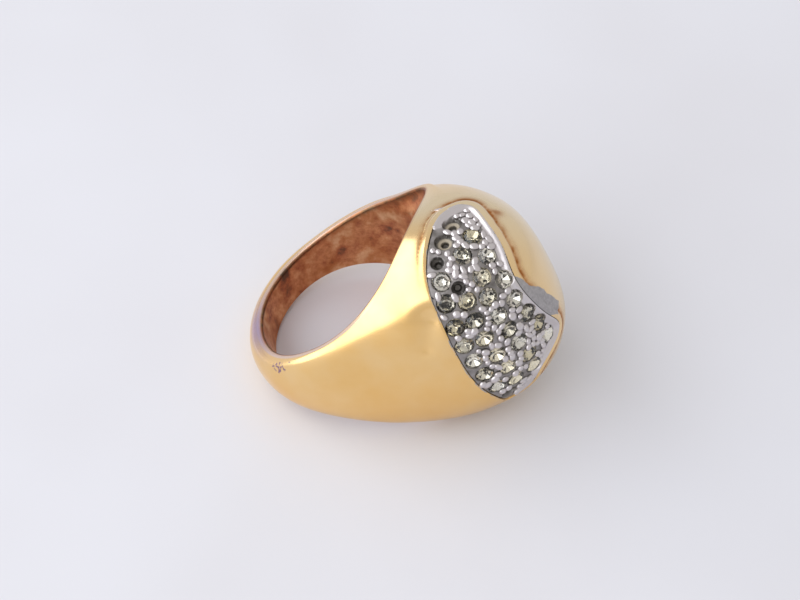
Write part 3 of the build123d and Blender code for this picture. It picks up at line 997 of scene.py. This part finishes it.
def bead_tree():
    """Geometry Nodes tree that scatters raised beads over the free part of the plate."""
    tree, entry = geometry_tree("Raised beads", {
        "Diameter": "Float", "Height": "Float", "Spacing": "Float", "Seed": "Int",
        "Material": "Material"})
    given = entry.outputs
    room = add(tree, "GeometryNodeInputNamedAttribute", {"Name": "bead_room"}, data_type="FLOAT")
    spread = add(tree, "GeometryNodeDistributePointsOnFaces", {
        "Mesh": given["Geometry"], "Distance Min": given["Spacing"], "Density Max": BEADS_PER_M2,
        "Density Factor": room, "Seed": given["Seed"]}, distribute_method="POISSON")
    ball = add(tree, "GeometryNodeMeshIcoSphere", {"Radius": 0.5, "Subdivisions": 2})
    position = add(tree, "ShaderNodeSeparateXYZ", {0: add(tree, "GeometryNodeInputPosition")})
    # Painted light: each bead is painted lighter towards its top and darker at its foot, and this is
    # stored as its 'high'.
    lit = add(tree, "ShaderNodeMapRange", {0: position.outputs[2], 1: -0.05, 2: 0.35, 3: 0.0, 4: 1.0})
    ball = add(tree, "GeometryNodeStoreNamedAttribute", {
        "Geometry": ball, "Name": "high", "Value": lit}, data_type="FLOAT", domain="POINT")
    ball = add(tree, "GeometryNodeSetShadeSmooth", {0: ball})
    size = add(tree, "FunctionNodeRandomValue", {
        0: (0.72, 0.68, 0.7), 1: (1.4, 1.1, 1.15), "Seed": given["Seed"]}, data_type="FLOAT_VECTOR")
    tall = add(tree, "ShaderNodeMath", {0: given["Height"], 1: 2.0}, operation="MULTIPLY")
    round_size = add(tree, "ShaderNodeCombineXYZ", {0: given["Diameter"], 1: given["Diameter"], 2: tall})
    scale = add(tree, "ShaderNodeVectorMath", {0: size, 1: round_size}, operation="MULTIPLY")
    spin = add(tree, "FunctionNodeRandomValue", {
        0: (-0.18, -0.18, 0.0), 1: (0.18, 0.18, 6.283), "Seed": given["Seed"]},
        data_type="FLOAT_VECTOR")
    beads = add(tree, "GeometryNodeInstanceOnPoints", {
        "Points": spread, "Instance": ball, "Rotation": spread.outputs["Rotation"], "Scale": scale})
    beads = add(tree, "GeometryNodeRotateInstances", {
        "Instances": beads, "Rotation": spin, "Local Space": True})
    return finish_tree(tree, beads, given["Material"])


class RING_OT_beads(bpy.types.Operator):
    """Raised beads that hold the stones and fill the plate between them"""
    bl_idname = "ring.beads"
    bl_label = "Build beads"

    def execute(self, context):
        sizes = context.scene.inlay_sizes
        ground = bpy.data.meshes["bead_ground"]
        mesh = grown(ground, bead_tree(), {
            "Diameter": sizes.bead_diameter, "Height": sizes.bead_height, "Spacing": sizes.bead_spacing,
            "Seed": sizes.bead_seed, "Material": bpy.data.materials[RHODIUM]}, "beads")
        bpy.data.meshes.remove(ground)
        place("pave_beads", mesh, "rhodium_plate")
        return {"FINISHED"}


def cut_stone(sizes):
    """Round stone cut by a table, eight crown facets and eight pavilion facets."""
    blank_stone = bmesh.new()
    radius, deep = sizes.stone_diameter / 2, 4 * sizes.stone_diameter
    bmesh.ops.create_cone(blank_stone, cap_ends=True, segments=48, radius1=radius, radius2=radius,
                          depth=deep)
    half = sizes.girdle_height / 2
    crown = Vector((sizes.crown_height - half, 0, radius - sizes.table_width / 2)).normalized()
    pavilion = Vector((sizes.pavilion_depth - half, 0, -radius)).normalized()
    cuts = [(Vector((0, 0, sizes.crown_height)), Vector((0, 0, 1)), 0)]
    for i in range(8):
        cuts.append((Vector((radius, 0, half)), crown, i / 8))
        cuts.append((Vector((radius, 0, -half)), pavilion, (i + 0.5) / 8))
    for at, outward, part in cuts:
        turn = Matrix.Rotation(2 * math.pi * part, 3, "Z")
        geometry = blank_stone.verts[:] + blank_stone.edges[:] + blank_stone.faces[:]
        bmesh.ops.bisect_plane(blank_stone, geom=geometry, plane_co=turn @ at, plane_no=turn @ outward,
                               clear_outer=True)
        bmesh.ops.holes_fill(blank_stone, edges=[edge for edge in blank_stone.edges if edge.is_boundary])

    # The cut blank's corners, wrapped anew so that every facet is one clean face.
    corners = {tuple(round(c / MM, 3) * MM for c in vert.co) for vert in blank_stone.verts}
    blank_stone.free()
    work = bmesh.new()
    for corner in sorted(corners):
        work.verts.new(corner)
    bmesh.ops.convex_hull(work, input=work.verts[:])
    bmesh.ops.delete(work, geom=[vert for vert in work.verts if not vert.link_faces], context="VERTS")
    bmesh.ops.dissolve_limit(work, angle_limit=math.radians(2), verts=work.verts[:], edges=work.edges[:])
    bmesh.ops.recalc_face_normals(work, faces=work.faces)
    for face in work.faces:
        face.material_index = int(face.normal.z < -0.5)
    mesh = bpy.data.meshes.new("cut_stone")
    work.to_mesh(mesh)
    work.free()
    return mesh


class RING_OT_stones(bpy.types.Operator):
    """Round foil-backed stones, each in its own seat"""
    bl_idname = "ring.stones"
    bl_label = "Build stones"

    def execute(self, context):
        sizes, colours = context.scene.inlay_sizes, context.scene.ring_colours
        pattern = cut_stone(sizes)
        glasses = [glass_material("lead_glass_cut_clear", colours.glass, 0.04),
                   glass_material("lead_glass_cut_smoky", linear("#EAE9E2"), 0.10),
                   glass_material("lead_glass_cut_yellowed", linear("#F8F2DC"), 0.08)]
        foils = [foil_material("silver_foil_bright", linear("#F4F1EA"), linear("#5A554E"), 0.64),
                 foil_material("silver_foil_darkened", linear("#DDD8CA"), linear("#45413C"), 0.56)]
        _, _, skin = ring_skin(context.scene.ring_shape)
        seats = all_seats(skin, Inlay(context.scene.ring_shape, skin, sizes.joint), sizes)
        rng = Random(11)
        for name, seat in zip(STONE_NODES, seats):
            axis = seat["axis"]
            centre = seat["place"] + axis * sizes.stone_lift
            mesh = pattern.copy()
            lean = Vector((rng.uniform(-0.07, 0.07), rng.uniform(-0.07, 0.07), 1))
            turn = axis.to_track_quat("Z", "Y") @ lean.to_track_quat("Z", "Y")
            spin = Matrix.Rotation(rng.uniform(0, math.pi), 4, "Z")
            mesh.transform(Matrix.Translation(centre - axis * sizes.crown_height)
                           @ turn.to_matrix().to_4x4() @ spin)
            mesh.materials.append(rng.choices(glasses, (5, 3, 3))[0])
            mesh.materials.append(rng.choices(foils, (3, 2))[0])
            place("rhinestone_" + name[-2:], mesh, "stone_glass", name)
        return {"FINISHED"}


class RING_OT_stage(bpy.types.Operator):
    """Table top, soft light and camera"""
    bl_idname = "ring.stage"
    bl_label = "Build stage"

    def execute(self, context):
        scene, stage = context.scene, context.scene.stage_settings
        low = CAD_BOX[0].z
        floor = bpy.data.meshes.new("table_top")
        corners = ((-1, -1), (1, -1), (1, 1), (-1, 1))
        floor.from_pydata([(x * TABLE_HALF, y * TABLE_HALF, low) for x, y in corners], [], [(0, 1, 2, 3)])
        floor.materials.append(floor_material(scene.ring_colours))
        table_top = bpy.data.objects.new("table_top", floor)
        scene.collection.objects.link(table_top)

        world = bpy.data.worlds.new("soft_room")
        world.use_nodes = True
        back = world.node_tree.nodes["Background"]
        back.inputs["Color"].default_value = linear("#F6F4F4")
        back.inputs["Strength"].default_value = stage.sky_strength
        scene.world = world
        window = bpy.data.lights.new("window", "AREA")
        window.shape, window.energy = "RECTANGLE", stage.key_power
        window.size, window.size_y = WINDOW_SIZE
        window.color = linear("#F4F8FF")[:3]
        lamp = bpy.data.objects.new("window", window)
        lamp.location = WINDOW_PLACE
        lamp.rotation_euler = (-WINDOW_PLACE).to_track_quat("-Z", "Y").to_euler()
        scene.collection.objects.link(lamp)

        a, e = stage.azimuth, stage.elevation
        back = Vector((math.sin(a) * math.cos(e), -math.cos(a) * math.cos(e), math.sin(e)))
        camera = bpy.data.objects.new("camera", bpy.data.cameras.new("camera"))
        camera.location = back * stage.distance
        camera.rotation_euler = (-back).to_track_quat("-Z", "Y").to_euler()
        camera.data.lens = stage.lens
        camera.data.shift_x, camera.data.shift_y = stage.shift_x, stage.shift_y
        camera.data.clip_start, camera.data.clip_end = 0.01, 10
        scene.collection.objects.link(camera)
        scene.camera = camera
        scene.view_settings.view_transform = "Standard"
        return {"FINISHED"}


OPERATORS = (RING_OT_stage, RING_OT_casting, RING_OT_plate, RING_OT_beads, RING_OT_stones)
GROUPS = {"ring_shape": RingShape, "inlay_sizes": InlaySizes, "ring_colours": RingColours,
          "stage_settings": StageSettings}


class RING_PT_panel(bpy.types.Panel):
    """Lists the ring's settings and builders"""
    bl_idname = "RING_PT_panel"
    bl_label = "Cocktail Ring"
    bl_space_type = "VIEW_3D"
    bl_region_type = "UI"
    bl_category = "Ring"

    def draw(self, context):
        for name, group in GROUPS.items():
            box = self.layout.box()
            box.label(text=group.__doc__)
            for prop in group.__annotations__:
                box.prop(getattr(context.scene, name), prop)
        for operator in OPERATORS:
            self.layout.operator(operator.bl_idname)


CLASSES = (*GROUPS.values(), *OPERATORS, RING_PT_panel)


def register():
    """Adds the ring's settings, builders and panel to Blender."""
    for item in CLASSES:
        bpy.utils.register_class(item)
    for name, group in GROUPS.items():
        setattr(bpy.types.Scene, name, bpy.props.PointerProperty(type=group))


def unregister():
    """Removes what register added."""
    for name in GROUPS:
        delattr(bpy.types.Scene, name)
    for item in reversed(CLASSES):
        bpy.utils.unregister_class(item)


def main():
    """Registers the add-on, then builds every piece and the stage."""
    register()
    for operator in OPERATORS:
        group, name = operator.bl_idname.split(".")
        getattr(getattr(bpy.ops, group), name)()


if __name__ == "__main__":
    main()
